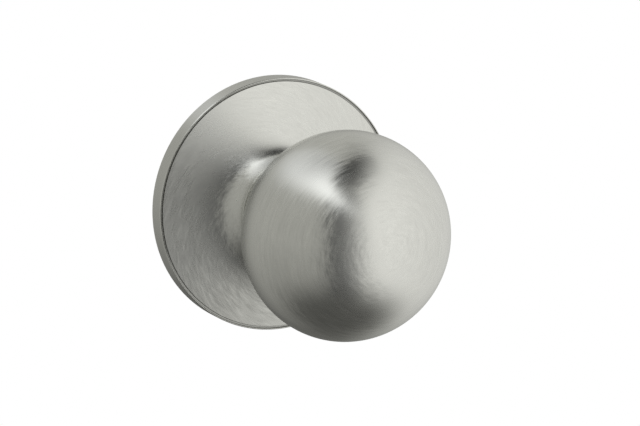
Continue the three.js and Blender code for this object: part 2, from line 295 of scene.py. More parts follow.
def wire(bm, points, radius, sides=16):
    """Round wire along points (Vectors in metres), with domed ends."""
    radius *= MM
    tangents = []
    for i in range(len(points)):
        tangents.append((points[min(i + 1, len(points) - 1)] - points[max(i - 1, 0)]).normalized())
    side = tangents[0].orthogonal().normalized()
    rings = []
    caps = [math.radians(a) for a in (75, 50, 25)]
    for i, (point, tangent) in enumerate(zip(points, tangents)):
        side = (side - tangent * side.dot(tangent)).normalized()
        up = tangent.cross(side)
        stations = [(point, radius)]
        if i == 0:
            dome = [(point - tangent * radius * math.sin(a), radius * math.cos(a)) for a in caps]
            stations = dome + stations
        if i == len(points) - 1:
            dome = [(point + tangent * radius * math.sin(a), radius * math.cos(a)) for a in reversed(caps)]
            stations = stations + dome
        for centre, r in stations:
            ring = []
            for k in range(sides):
                angle = TAU * k / sides
                ring.append(bm.verts.new(centre + side * r * math.cos(angle) + up * r * math.sin(angle)))
            rings.append(ring)
    skin_with_ends(bm, rings)


def link(name, data):
    """A new object in the scene."""
    obj = bpy.data.objects.new(name, data)
    bpy.context.scene.collection.objects.link(obj)
    return obj


def evaluated_mesh(obj):
    """A copy of an object's mesh as its modifiers leave it."""
    bpy.context.view_layer.update()
    return bpy.data.meshes.new_from_object(obj.evaluated_get(bpy.context.evaluated_depsgraph_get()))


def sheet(bm, loops, back, front, edge):
    """Sheet metal between back and front, with the outline loops[0], the other loops cut out of it,
    and every edge rounded."""
    curve = bpy.data.curves.new("outline", "CURVE")
    curve.dimensions = "2D"
    curve.fill_mode = "BOTH"
    for i, loop in enumerate(loops):
        if i:
            loop = loop[::-1]
        spline = curve.splines.new("POLY")
        spline.points.add(len(loop) - 1)
        for point, (x, z) in zip(spline.points, loop):
            point.co = (x * MM, z * MM, 0, 1)
        spline.use_cyclic_u = True
    curve.extrude = ((front - back) / 2 - edge) * MM
    curve.bevel_depth = edge * MM
    curve.bevel_resolution = 2
    curve.offset = -edge * MM
    holder = link("outline", curve)
    data = evaluated_mesh(holder)
    part = bmesh.new()
    part.from_mesh(data)
    middle = (front + back) / 2
    for v in part.verts:
        v.co = (v.co.x, DOOR_Y - middle * MM + v.co.z, v.co.y)
    bmesh.ops.remove_doubles(part, verts=part.verts, dist=1e-7)
    bmesh.ops.recalc_face_normals(part, faces=part.faces)
    absorb(bm, part)
    bpy.data.meshes.remove(data)
    bpy.data.objects.remove(holder)
    bpy.data.curves.remove(curve)


def finish_piece(bm, name, body, material, node, sharp=32):
    """Makes the object from bm, shades it, and puts it in the frame in place of its CAD node."""
    bmesh.ops.recalc_face_normals(bm, faces=bm.faces)
    data = bpy.data.meshes.new(name)
    bm.to_mesh(data)
    bm.free()
    data.shade_smooth()
    data.set_sharp_from_angle(angle=math.radians(sharp))
    obj = link(name, data)
    weighted = obj.modifiers.new("weighted", "WEIGHTED_NORMAL")
    weighted.keep_sharp = True
    data.materials.append(material)
    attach(obj, body)
    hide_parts(node)


def cut(bm, cutter):
    """bm with the closed mesh cutter taken out of it."""
    objects = []
    for mesh in (bm, cutter):
        bmesh.ops.recalc_face_normals(mesh, faces=mesh.faces)
        data = bpy.data.meshes.new("cut")
        mesh.to_mesh(data)
        mesh.free()
        objects.append(link("cut", data))
    modifier = objects[0].modifiers.new("cut", "BOOLEAN")
    modifier.operation = "DIFFERENCE"
    modifier.solver = "EXACT"
    modifier.object = objects[1]
    data = evaluated_mesh(objects[0])
    result = bmesh.new()
    result.from_mesh(data)
    bpy.data.meshes.remove(data)
    for obj in objects:
        mesh = obj.data
        bpy.data.objects.remove(obj)
        bpy.data.meshes.remove(mesh)
    return result


# ---------------------------------------------------------------- material building


class Nodes:
    """Short-hand for building a node tree."""

    def __init__(self, tree):
        self.tree = tree
        tree.nodes.clear()

    def add(self, kind, inputs=(), **settings):
        node = self.tree.nodes.new(kind)
        for key, value in settings.items():
            setattr(node, key, value)
        for key, value in dict(inputs).items():
            socket = node.inputs[key]
            if isinstance(value, bpy.types.NodeSocket):
                self.tree.links.new(value, socket)
            else:
                socket.default_value = value
        return node

    def math(self, operation, a, b=0.0, c=0.0):
        return self.add("ShaderNodeMath", {0: a, 1: b, 2: c}, operation=operation).outputs[0]

    def vector(self, operation, a, b=(0.0, 0.0, 0.0)):
        node = self.add("ShaderNodeVectorMath", {0: a, 1: b}, operation=operation)
        return node.outputs["Value" if operation == "LENGTH" else "Vector"]

    def scale(self, vector, factor):
        return self.add("ShaderNodeVectorMath", {0: vector, 3: factor}, operation="SCALE").outputs[0]

    def combine(self, x, y, z):
        return self.add("ShaderNodeCombineXYZ", {0: x, 1: y, 2: z}).outputs[0]

    def ramp(self, value, low, high, to_low, to_high, smooth=False):
        """Turns low..high into to_low..to_high, level beyond both ends."""
        kind = "SMOOTHSTEP" if smooth else "LINEAR"
        inputs = {0: value, 1: low, 2: high, 3: to_low, 4: to_high}
        return self.add("ShaderNodeMapRange", inputs, interpolation_type=kind).outputs[0]

    def spread(self, noise, to_low, to_high):
        """Spreads a noise, which seldom leaves 0.3 to 0.7, over to_low..to_high."""
        return self.ramp(noise, 0.3, 0.7, to_low, to_high)

    def mix(self, factor, a, b):
        node = self.add("ShaderNodeMix", {0: factor, 6: a, 7: b}, data_type="RGBA")
        return node.outputs[2]

    def noise(self, position, scale, detail=2.0, roughness=0.5, w=None, distortion=0.0):
        inputs = {
            "Vector": position,
            "Scale": scale,
            "Detail": detail,
            "Roughness": roughness,
            "Distortion": distortion,
        }
        if w is not None:
            inputs["W"] = w
        size = "3D" if w is None else "4D"
        return self.add("ShaderNodeTexNoise", inputs, noise_dimensions=size).outputs[0]

    def grain(self, height, strength, distance):
        """A normal roughened by a grain, distance deep in millimetres."""
        inputs = {"Strength": strength, "Distance": distance * MM, "Height": height}
        return self.add("ShaderNodeBump", inputs).outputs[0]


def grey(value, tint=(1.0, 1.0, 1.0)):
    return (value * tint[0], value * tint[1], value * tint[2], 1.0)


def new_material(name):
    """A material, the builder of its nodes, and the position on the piece in metres."""
    material = bpy.data.materials.new(name)
    material.use_nodes = True
    n = Nodes(material.node_tree)
    return material, n, n.add("ShaderNodeTexCoord").outputs["Object"]


def shade(n, inputs):
    """Ends a material with a principled surface."""
    surface = n.add("ShaderNodeBsdfPrincipled", inputs)
    n.add("ShaderNodeOutputMaterial", {0: surface.outputs[0]})


# Each pass of the brush: the middle of its arcs (x, z) in millimetres, how fine it is beside the
# others, how often a line changes in each radian, and its share in the finish.
BRUSH_PASSES = (
    ((0.0, 0.0), 1.3, 3.5, 0.40),
    ((2.0, 1.5), 0.8, 3.0, 0.35),
    ((-7.0, 9.0), 1.0, 3.5, 0.25),
)
STROKE_DETAIL = 2.0
STROKE_RAGGEDNESS = 0.6
STROKE_LOW, STROKE_HIGH = 0.35, 0.65
# Painted shade along the rose's groove: its half width and its fade in millimetres, and how dark it gets.
GROOVE_SHADE_HALF = 0.22
GROOVE_SHADE_FADE = 0.36
GROOVE_SHADE_TONE = 0.5


def brushing(n, flat, depth, centre, across, along, twist):
    """Noise drawn out into arcs round an axis parallel to Y. across is lines per millimetre, along is
    how quickly a line changes round the circle, and twist is how far in millimetres a line drifts
    outwards in each radian."""
    offset = n.vector("SUBTRACT", flat, (centre[0] * MM, 0.0, centre[1] * MM))
    heading = n.scale(n.vector("NORMALIZE", offset), along)
    turn = n.add("ShaderNodeSeparateXYZ", {0: heading}).outputs
    spread = n.vector("LENGTH", offset)
    if twist:
        leftward = n.math("MULTIPLY", turn[0], -1.0)
        angle = n.math("ARCTAN2", n.math("MULTIPLY", turn[2], -1.0), leftward)
        spread = n.math("SUBTRACT", spread, n.math("MULTIPLY", angle, twist * MM))
    lines = n.math("MULTIPLY", spread, across / MM)
    place = n.combine(turn[0], lines, turn[2])
    layer = n.math("MULTIPLY", depth, across / MM)
    return n.noise(place, 1.0, STROKE_DETAIL, STROKE_RAGGEDNESS, w=layer)


def brushed_normal(n, radius, lines, wobble, twist):
    """The direction square to the strokes, and the surface's normal tipped along it by the lines."""
    normal = n.add("ShaderNodeNewGeometry").outputs["Normal"]
    around = n.vector("NORMALIZE", n.vector("CROSS_PRODUCT", (0.0, 1.0, 0.0), normal))
    outward = n.scale(n.vector("CROSS_PRODUCT", normal, around), radius)
    square = n.vector("NORMALIZE", n.vector("ADD", outward, n.scale(around, twist * MM)))
    lean = n.scale(square, n.spread(lines, -wobble, wobble))
    return square, n.vector("NORMALIZE", n.vector("ADD", normal, lean))


def satin_nickel(name, base, roughness, anisotropy, wobble, twist=0.0, lines_per_mm=1.4, shaded_groove_r=None):
    """Nickel plate brushed on a lathe: short fine arcs round the knob's axis, crossed by some that
    wander. wobble is how far the lines tip the surface. The groove radius, in millimetres, if given,
    marks where the colour is darkened as painted shade, in place of the shadow that falls in the groove."""
    material, n, position = new_material(name)
    parts = n.add("ShaderNodeSeparateXYZ", {0: position}).outputs
    flat = n.combine(parts[0], 0.0, parts[2])
    radius = n.vector("LENGTH", flat)
    lines = 0.0
    for centre, fineness, along, share in BRUSH_PASSES:
        strokes = brushing(n, flat, parts[1], centre, fineness * lines_per_mm, along, twist)
        lines = n.math("MULTIPLY_ADD", strokes, share, lines)
    cloud = n.noise(position, 70.0, 3.0)
    line_tone = n.ramp(lines, STROKE_LOW, STROKE_HIGH, 0.92, 1.08)
    tone = n.math("MULTIPLY", line_tone, n.spread(cloud, 0.98, 1.02))
    # Painted shade: the colour is darkened along the groove, in place of the shadow that falls in it.
    if shaded_groove_r:
        off = n.math("ABSOLUTE", n.math("SUBTRACT", radius, shaded_groove_r * MM))
        tone = n.math("MULTIPLY", tone, n.ramp(off, GROOVE_SHADE_HALF * MM, GROOVE_SHADE_FADE * MM, GROOVE_SHADE_TONE, 1.0))
    line_roughness = n.ramp(lines, STROKE_LOW, STROKE_HIGH, roughness - 0.04, roughness + 0.04)
    square, normal = brushed_normal(n, radius, lines, wobble, twist)
    shade(
        n,
        {
            "Base Color": n.scale(base, tone),
            "Metallic": 1.0,
            "Roughness": n.math("ADD", line_roughness, n.spread(cloud, -0.015, 0.015)),
            "Anisotropic": anisotropy,
            "Tangent": square,
            "Normal": normal,
        },
    )
    return material


def plated_steel(name, base, roughness, mottle):
    """Pressed or turned steel with a thin plating: clouded tone, faint warm and blue patches, and a
    fine grain."""
    material, n, position = new_material(name)
    cloud = n.noise(position, 110.0, 4.0, 0.6)
    patch = n.noise(position, 260.0, 3.0, 0.5, distortion=0.4)
    grain = n.noise(position, 5200.0, 2.0, 0.6)
    warm = grey(1.0, (base[0] * 1.03, base[1], base[2] * 0.95))
    cool = grey(1.0, (base[0] * 0.95, base[1] * 0.98, base[2] * 1.04))
    colour = n.mix(n.ramp(patch, 0.35, 0.65, 0.0, 1.0), warm, cool)
    tone = n.spread(cloud, 1.0 - mottle, 1.0 + mottle * 0.5)
    clouded = n.spread(cloud, roughness - 0.07, roughness + 0.08)
    shade(
        n,
        {
            "Base Color": n.scale(colour, tone),
            "Metallic": 1.0,
            "Roughness": n.math("ADD", clouded, n.spread(grain, -0.03, 0.03)),
            "Normal": n.grain(grain, 0.35, 0.02),
        },
    )
    return material


def moulded_nylon(name, base):
    """Cream nylon, faintly clouded, with a fine moulded grain."""
    material, n, position = new_material(name)
    cloud = n.noise(position, 180.0, 3.0)
    grain = n.noise(position, 2600.0, 2.0)
    shade(
        n,
        {
            "Base Color": n.scale(base, n.spread(cloud, 0.95, 1.03)),
            "Roughness": n.spread(grain, 0.42, 0.58),
            "Subsurface Weight": 0.15,
            "Subsurface Scale": 0.6 * MM,
            "Normal": n.grain(grain, 0.3, 0.03),
        },
    )
    return material


NICKEL = (0.70, 0.70, 0.67)
ball_nickel = satin_nickel(
    "ball_nickel", NICKEL, roughness=0.262, anisotropy=0.28, wobble=0.07, lines_per_mm=1.45
)
rose_nickel = satin_nickel(
    "rose_nickel",
    NICKEL,
    roughness=0.26,
    anisotropy=0.75,
    wobble=0.09,
    twist=12.5,
    lines_per_mm=1.65,
    # Radius of the painted groove shade, just inside the bead.
    shaded_groove_r=GROOVE_INNER_R + 0.3,
)
neck_nickel = satin_nickel("neck_nickel", NICKEL, roughness=0.25, anisotropy=0.35, wobble=0.03)
zinc_plate = plated_steel("zinc_plate", (0.66, 0.67, 0.68), roughness=0.38, mottle=0.08)
turned_steel = plated_steel("turned_steel", (0.56, 0.57, 0.58), roughness=0.34, mottle=0.06)
dark_spring = plated_steel("dark_spring", (0.20, 0.205, 0.215), roughness=0.36, mottle=0.10)
die_cast = plated_steel("die_cast", (0.50, 0.51, 0.52), roughness=0.55, mottle=0.12)
nylon = moulded_nylon("nylon", (0.80, 0.77, 0.69))

# ---------------------------------------------------------------- the fixed half


def build_rose():
    """Spun rose: wall, thin rolled bead, groove, and a sloping face that sweeps up into the collar."""
    groove_outer_r = ROSE_R - 0.42
    face_start = (GROOVE_INNER_R, FACE_OUT)
    face = bezier(face_start, (19.8, 9.3), (15.8, 10.6), (COLLAR_R, ROSE_FRONT - 0.4), 70)
    under = bezier((COLLAR_BORE_R, ROSE_FRONT - 1.2), (13.95, 10.2), (19.3, 8.05), (31.7, 4.1), 30)
    profile = [
        (ROSE_R, 0, 0.12),
        (ROSE_R, BEAD_OUT - 0.28, 0.15),
        (ROSE_R - BEAD_WIDTH, BEAD_OUT, 0.12),
        (groove_outer_r, GROOVE_FLOOR_OUT, 0.05),
        (GROOVE_INNER_R + 0.06, GROOVE_FLOOR_OUT, 0.08),
        (*face_start, 0.1),
        *face[1:],
        (COLLAR_R - 0.05, ROSE_FRONT, 0.35),
        (COLLAR_BORE_R, ROSE_FRONT, 0.3),
        (COLLAR_BORE_R, ROSE_FRONT - 1.0, 0),
        *under,
        (ROSE_R - SHEET, 3.6, 0.3),
        (ROSE_R - SHEET, 0, 0.1),
    ]
    bm = bmesh.new()
    lathe(bm, profile, FINE)
    finish_piece(bm, "rose_shell", "trim", rose_nickel, "rose")


def build_neck():
    """Neck with a drawn waist, flanged inside the ball."""
    bm = bmesh.new()
    lathe(
        bm,
        [
            (8.15, 3.3, 0.1),
            (12.95, 3.3, 0.4),
            *arc(42.65, 17.5, 30, 30, 188.0, 165.7, 20),
            (13.62, NECK_END + 0.15, 0.15),
            (12.2, NECK_END - 0.35, 0.2),
            (12.2, NECK_END + 1.4, 0.2),
            (13.7, NECK_END + 1.95, 0.2),
            (13.7, NECK_END + 2.8, 0.2),
            (11.1, NECK_END + 2.8, 0.2),
            (11.1, 4.6, 0.4),
            (8.15, 4.6, 0.1),
        ],
        FINE,
    )
    finish_piece(bm, "neck", "knob", neck_nickel, "knob_neck")


def build_ball():
    """Spun ball, a little flattened along its axis, its mouth rolled in round the neck."""
    inner_r, inner_s = KNOB_R - KNOB_WALL, KNOB_HALF_DEPTH - KNOB_WALL
    outer_start = -math.degrees(math.acos(KNOB_MOUTH_R / KNOB_R))
    inner_start = -math.degrees(math.acos(KNOB_MOUTH_R / inner_r))
    outside = arc(0, KNOB_CENTRE, KNOB_R, KNOB_HALF_DEPTH, outer_start + 0.8, 90, 96)
    inside = arc(0, KNOB_CENTRE, inner_r, inner_s, 90, inner_start + 0.4, 64)
    lip = [(KNOB_MOUTH_R, inside[-1][1], 0.15), (KNOB_MOUTH_R, outside[0][1], 0.25)]
    outside[-1] = (0, outside[-1][1], 0)
    inside[0] = (0, inside[0][1], 0)
    bm = bmesh.new()
    lathe(bm, outside + inside + lip, FINE)
    finish_piece(bm, "ball", "knob", ball_nickel, "knob_shell")


# ---------------------------------------------------------------- the works behind the rose

def centre_of(node):
    """Middle of a node across the knob's axis, (x, z) in millimetres."""
    low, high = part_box(node)
    return (low.x + high.x) / 2 / MM, (low.z + high.z) / 2 / MM


def build_backing_plate():
    """Pressed pan with a turned-up rim, a rolled edge round each hole and two long adjusting slots."""
    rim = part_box("backing_plate")[1].x / MM
    height = front_of("backing_plate")
    pan = bmesh.new()
    lathe(
        pan,
        [
            (PLATE_BORE_R, 0, 0.25),
            (26.6, 0, 0),
            (27.1, 0.28, 0.5),
            (28.3, 0.28, 0.5),
            (28.8, 0, 0),
            (rim, 0, 1.1),
            (rim, height, 0.35),
            (rim - 1.1, height, 0.35),
            (rim - 1.1, PLATE_FRONT, 0.7),
            (PLATE_BORE_R, PLATE_FRONT, 0.25),
        ],
        FINE,
    )
    holes = bmesh.new()
    mouth = [(0.35, 0.0), (0.12, 0.1), (0.0, 0.35)]
    for nodes, radius in ((RIVETS, RIVET_HOLE_R), (POSTS, POST_HOLE_R)):
        for node in nodes:
            back = [(radius + flare, depth, 0) for flare, depth in mouth]
            front = [(radius + flare, PLATE_FRONT - depth, 0) for flare, depth in reversed(mouth)]
            profile = [(0, -1, 0), (radius + 0.35, -1, 0), *back, *front]
            profile += [(radius + 0.35, 3, 0), (0, 3, 0)]
            lathe(holes, profile, SMALL, centre_of(node))
    pan = cut(pan, holes)
    slots = bmesh.new()
    for side in (-1, 1):
        sheet(slots, [slot_loop(0, side * 25.5, length=14, width=4)], -1, 3, 0.02)
    pan = cut(pan, slots)
    finish_piece(pan, "mounting_plate", "trim", zinc_plate, "backing_plate")


def cage_outline():
    """Round flange with an ear for each rivet, their roots filleted."""
    ear_r, ear_tip = 3.4, 18.6
    count = 360
    radii = []
    for k in range(count):
        away = min(abs((k - a + 180) % 360 - 180) for a in (45, 135, 225, 315))
        turn = math.radians(away)
        r = CAGE_WALL_R
        if ear_tip * math.sin(turn) < ear_r:
            r = ear_tip * math.cos(turn) + math.sqrt(ear_r**2 - (ear_tip * math.sin(turn)) ** 2)
        elif away < 60:
            r = max(r, ear_r / math.sin(turn))
        radii.append(r)
    radii = soften(radii, 3)
    return polar_loop(lambda degrees: radii[round(degrees) % count])


def build_spring_cage():
    """Drawn cup with a riveted flange, a tab for the spring's legs and two stops for the driver."""
    bm = bmesh.new()
    lathe(
        bm,
        [
            (PLATE_BORE_R, CAGE_BACK, 0.25),
            (11.0, CAGE_BACK, 0),
            (11.4, CAGE_BACK + 0.22, 0.4),
            (12.6, CAGE_BACK + 0.22, 0.4),
            (13.0, CAGE_BACK, 0),
            (CAGE_WALL_R, CAGE_BACK, 1.3),
            (CAGE_WALL_R, FLANGE_BACK - 0.6, 0.5),
            (CAGE_WALL_R + 0.5, FLANGE_BACK + 0.2, 0.2),
            (CAGE_WALL_R, -0.4, 0.2),
            (CAGE_BORE_R, -0.3, 0.3),
            (CAGE_BORE_R, CAGE_BACK + 1.1, 0.6),
            (PLATE_BORE_R, CAGE_BACK + 1.1, 0.25),
        ],
        MEDIUM,
    )
    holes = [circle_loop(*centre_of(node), RIVET_HOLE_R, 28) for node in RIVETS]
    flange = [cage_outline(), circle_loop(0, 0, CAGE_BORE_R + 0.4, MEDIUM), *holes]
    sheet(bm, flange, FLANGE_BACK, FLANGE_FRONT, 0.22)
    floor_front = CAGE_BACK + 0.8
    tab_front, stop_front = -1.4, -5.5
    sector(bm, 12.9, 14.6, 81, 99, floor_front, tab_front, 0.25)
    for start, end in ((189, 198), (342, 351)):
        sector(bm, 12.0, 14.6, start, end, floor_front, stop_front, 0.25, 8)
    finish_piece(bm, "cage", "trim", zinc_plate, "spring_cage")


def build_return_spring():
    """Three close coils of round wire, with a leg turned out at each end."""
    coil_r, tip_r, leg = 9.9, 13.5, 13.4
    back, front = -6.2, -2.2
    bend = 6.0
    first, last = 90 - leg, 90 + leg - 1080
    coil = []
    steps = 216
    for k in range(steps + 1):
        share = k / steps
        degrees = first - bend + (last - first + 2 * bend) * share
        coil.append((coil_r, degrees, back + (front - back) * share))
    points = []
    for ends, degrees, out in ((coil[0], first, back), (coil[-1], last, front)):
        leg_points = [(tip_r - 0.6 - 0.3 * k, degrees, out) for k in range(7)]
        pull = (coil_r + 0.2, degrees, out)
        start = leg_points[-1]
        for k in range(1, 6):
            t = k / 6
            weights = ((1 - t) ** 2, 2 * t * (1 - t), t * t)
            parts = (start, pull, ends)
            leg_points.append(tuple(sum(w * part[i] for w, part in zip(weights, parts)) for i in range(3)))
        points.append(leg_points)
    path = points[0] + coil + points[1][::-1]
    bm = bmesh.new()
    wire(bm, [Vector(at(r, out, math.radians(degrees))) for r, degrees, out in path], 0.6)
    finish_piece(bm, "coil_spring", "trim", dark_spring, "return_spring", 60)


def build_rivet(node):
    """Rivet with a domed head in front and a rolled, dimpled head behind."""
    bm = bmesh.new()
    front, back = PLATE_FRONT + CLEARANCE, FLANGE_BACK - CLEARANCE
    head = [(2.6 * math.cos(a), front + 0.15 + 0.85 * math.sin(a), 0) for a in (0, 0.4, 0.8, 1.2)]
    lathe(
        bm,
        [
            (0, back - 0.35, 0),
            (0.7, back - 0.4, 0.2),
            (1.1, back - 0.9, 0.3),
            (2.0, back - 0.8, 0.5),
            (2.6, back - 0.1, 0.15),
            (2.5, back, 0),
            (1.5, back, 0),
            (1.5, front, 0),
            (2.6, front, 0.05),
            *head,
            (0, front + 1.0, 0),
        ],
        SMALL,
        centre_of(node),
    )
    finish_piece(bm, node.replace("cage_rivet", "rivet"), "trim", turned_steel, node)


def build_post(node):
    """Post staked into the plate, tapped from its free end."""
    bm = bmesh.new()
    bore, pitch, depth = 1.75, 0.7, 0.3
    back = -24.0
    thread = []
    turns = 18
    for k in range(turns):
        out = -10.6 - pitch * k
        thread += [(bore + depth, out, 0), (bore, out - pitch * 0.4, 0), (bore, out - pitch * 0.6, 0)]
    lathe(
        bm,
        [
            (0, -9.0, 0),
            (bore - 0.1, -10.0, 0),
            *thread,
            (bore + 0.45, back, 0.1),
            (2.65, back, 0.1),
            (3.1, back + 0.45, 0.2),
            (3.1, -4.2, 0.1),
            (2.85, -4.0, 0.2),
            (2.85, -3.4, 0.2),
            (3.1, -3.2, 0.1),
            (3.1, -2.6, 0.1),
            (3.9, -1.8, 0.15),
            (3.9, -0.1, 0.2),
            (2.6, -0.1, 0),
            (2.6, PLATE_FRONT + CLEARANCE, 0),
            (3.4, PLATE_FRONT + CLEARANCE, 0.15),
            (2.8, PLATE_FRONT + 0.85, 0.3),
            (1.2, PLATE_FRONT + 0.9, 0.2),
            (0.9, PLATE_FRONT + 0.6, 0.2),
            (0, PLATE_FRONT + 0.6, 0),
        ],
        SMALL,
        centre_of(node),
    )
    finish_piece(bm, node.replace("mounting_", ""), "trim", turned_steel, node)


def build_bushes():
    """Flanged nylon bushes in the plate and in the cage's floor."""
    inner, sleeve = SHANK_R + 0.15, 9.45
    front = bmesh.new()
    lathe(
        front,
        [
            (inner, 0.1, 0.3),
            (sleeve, 0.1, 0.3),
            (sleeve, PLATE_FRONT + CLEARANCE, 0.1),
            (12.2, PLATE_FRONT + CLEARANCE, 0.25),
            (12.2, 2.9, 0.3),
            (inner, 2.9, 0.3),
        ],
        MEDIUM,
    )
    finish_piece(front, "bush_front", "trim", nylon, "front_bush")
    rear = bmesh.new()
    lathe(
        rear,
        [
            (inner, -11.3, 0.3),
            (11.6, -11.3, 0.3),
            (11.6, CAGE_BACK - CLEARANCE, 0.25),
            (sleeve, CAGE_BACK - CLEARANCE, 0.1),
            (sleeve, -8.95, 0.3),
            (inner, -8.95, 0.3),
        ],
        MEDIUM,
    )
    finish_piece(rear, "bush_rear", "trim", nylon, "rear_bush")


def build_washers():
    """A washer waved three times round, and a flat one behind it."""
    waved = bmesh.new()
    lathe(
        waved,
        [(8.4, -12.13, 0.12), (11.2, -12.13, 0.12), (11.2, -11.77, 0.12), (8.4, -11.77, 0.12)],
        MEDIUM,
        wave=lambda angle: -0.32 * math.cos(3 * angle),
    )
    finish_piece(waved, "waved_washer", "trim", dark_spring, "wave_washer")
    flat = bmesh.new()
    lathe(
        flat,
        [(8.1, -13.5, 0.2), (11.6, -13.5, 0.25), (11.6, -12.6, 0.25), (8.1, -12.6, 0.2)],
        MEDIUM,
    )
    finish_piece(flat, "flat_washer", "knob", zinc_plate, "rear_washer")


def build_retaining_ring():
    """Snap ring that narrows towards its gap, with a holed lug on each end."""
    inner, outer, start, end = 7.35, 10.4, -60, 240
    steps = 90
    around = [start + (end - start) * k / steps for k in range(steps + 1)]

    def point(r, degrees):
        return (r * math.cos(math.radians(degrees)), r * math.sin(math.radians(degrees)))

    def outer_r(degrees):
        from_end = min(degrees - start, end - degrees)
        narrow = outer - 1.05 * (0.5 + 0.5 * math.cos(math.radians(degrees - 270)))
        lug = max(0.0, min(1.0, (20 - from_end) / 5))
        return narrow + (outer - narrow) * lug * lug * (3 - 2 * lug)

    outline = [point(outer_r(a), a) for a in around] + [point(inner, a) for a in reversed(around)]
    lugs = [circle_loop(*point(8.9, a), 0.62, 20) for a in (start + 9, end - 9)]
    bm = bmesh.new()
    sheet(bm, [outline, *lugs], -14.6, -13.7, 0.16)
    finish_piece(bm, "snap_ring", "knob", dark_spring, "retaining_ring")


def build_shank():
    """Sleeve with a snap-ring groove, two driver slots and chamfered ends."""
    back, front = -16.5, KNOB_CENTRE - 12.8
    groove_back, groove_front = -14.8, -13.55
    bm = bmesh.new()
    lathe(
        bm,
        [
            (SHANK_BORE_R, back, 0.3),
            (SHANK_R - 0.6, back, 0.1),
            (SHANK_R, back + 0.6, 0.15),
            (SHANK_R, groove_back, 0.12),
            (RING_GROOVE_R, groove_back, 0.1),
            (RING_GROOVE_R, groove_front, 0.1),
            (SHANK_R, groove_front, 0.12),
            (SHANK_R, front, 0.3),
            (SHANK_BORE_R, front, 0.3),
        ],
        MEDIUM,
    )
    slots = bmesh.new()
    bmesh.ops.create_cube(slots, size=1.0)
    size = Vector((2 * SHANK_R + 2, SHANK_SLOT_FRONT - SHANK_SLOT_BACK, SHANK_SLOT_HEIGHT)) * MM
    middle = Vector((0, DOOR_Y - (SHANK_SLOT_FRONT + SHANK_SLOT_BACK) / 2 * MM, 0))
    for v in slots.verts:
        v.co = v.co * size + middle
    bm = cut(bm, slots)
    finish_piece(bm, "shank_sleeve", "knob", turned_steel, "shank_tube")


def build_spindle():
    """Square bar with broken corners, a score line and a chamfered free end."""
    back, front = out_of_door(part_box("spindle")[1].y), front_of("spindle")
    corner = 0.62
    score = -19.0
    score_wall = [(0.55, 0.0), (0.4, 0.08), (0.25, 0.33), (0.15, 0.35)]
    stations = [
        (back, 0.75),
        (back + 0.15, 0.45),
        (back + 0.7, 0.08),
        (back + 1.0, 0.0),
        *[(score - away, inset) for away, inset in score_wall],
        *[(score + away, inset) for away, inset in reversed(score_wall)],
        (front - 0.5, 0.0),
        (front, 0.5),
    ]
    bm = bmesh.new()
    rings = []
    for out, inset in stations:
        half = SPINDLE_SIDE / 2 - inset
        ring = []
        for quarter in range(4):
            for k in range(7):
                angle = math.radians(90 * quarter + 90 * k / 6)
                cx = (half - corner) * (1 if quarter in (0, 3) else -1)
                cz = (half - corner) * (1 if quarter in (0, 1) else -1)
                x, z = cx + corner * math.cos(angle), cz + corner * math.sin(angle)
                ring.append(bm.verts.new((x * MM, DOOR_Y - out * MM, z * MM)))
        rings.append(ring)
    skin_with_ends(bm, rings)
    finish_piece(bm, "square_bar", "knob", turned_steel, "spindle")


def build_driver():
    """Pressed hub keyed into the shank's slots, with a foot for the stops and a finger for the spring."""
    back, front = -8.7, -7.0

    def outside(degrees):
        if near(degrees, 270, 10):
            return 13.8
        return 12.6 if near(degrees, 90, 9) else 10.9

    def inside(degrees):
        for key in (0, 180):
            away = math.radians(abs((degrees - key + 180) % 360 - 180))
            if away < math.radians(30) and 6.4 * math.tan(away) <= 1.0:
                return 6.4 / math.cos(away)
        return SHANK_R + 0.1

    bm = bmesh.new()
    sheet(bm, [polar_loop(outside), polar_loop(inside)], back, front, 0.14)
    sector(bm, 11.2, 12.6, 81, 99, back + 0.4, -1.0, 0.3)
    finish_piece(bm, "driver", "knob", zinc_plate, "spring_driver")


def build_pin():
    """Cross pin with chamfered ends, through the core and the spindle."""
    low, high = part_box("cross_pin")
    radius, length, chamfer = 1.5, high.x / MM, 0.4
    middle_y = (low.y + high.y) / 2
    half = [(radius, length - chamfer, 0.1), (radius - chamfer, length, 0.1), (0, length, 0)]
    profile = [(r, -along, rounding) for r, along, rounding in reversed(half)] + half
    bm = bmesh.new()
    rings = []
    for p in rounded(profile):
        if p.x < ON_AXIS:
            rings.append([bm.verts.new((p.y * MM, middle_y, 0))])
            continue
        ring = []
        for k in range(SMALL):
            angle = TAU * k / SMALL
            aside = Vector((0, math.cos(angle), math.sin(angle))) * p.x * MM
            ring.append(bm.verts.new(aside + Vector((p.y * MM, middle_y, 0))))
        rings.append(ring)
    skin(bm, rings)
    finish_piece(bm, "pin", "knob", turned_steel, "cross_pin")


build_rose()
build_neck()
build_ball()
build_backing_plate()
build_spring_cage()
build_return_spring()
for rivet in RIVETS:
    build_rivet(rivet)
for post in POSTS:
    build_post(post)
build_bushes()
build_washers()
build_retaining_ring()
build_shank()
build_spindle()
build_driver()
build_pin()

CAD_MATERIALS = {
    "zinc_plated_steel": zinc_plate,
    "turned_steel": turned_steel,
    "spring_steel": dark_spring,
    "zinc_casting": die_cast,
    "nylon": nylon,
    "satin_nickel": ball_nickel,
}
for entry in frame["record"]["subparts"]:
    slots = frame["nodes"][entry["node"]].data.materials
    slots.clear()
    slots.append(CAD_MATERIALS[entry["material_slot"]])

# ---------------------------------------------------------------- studio


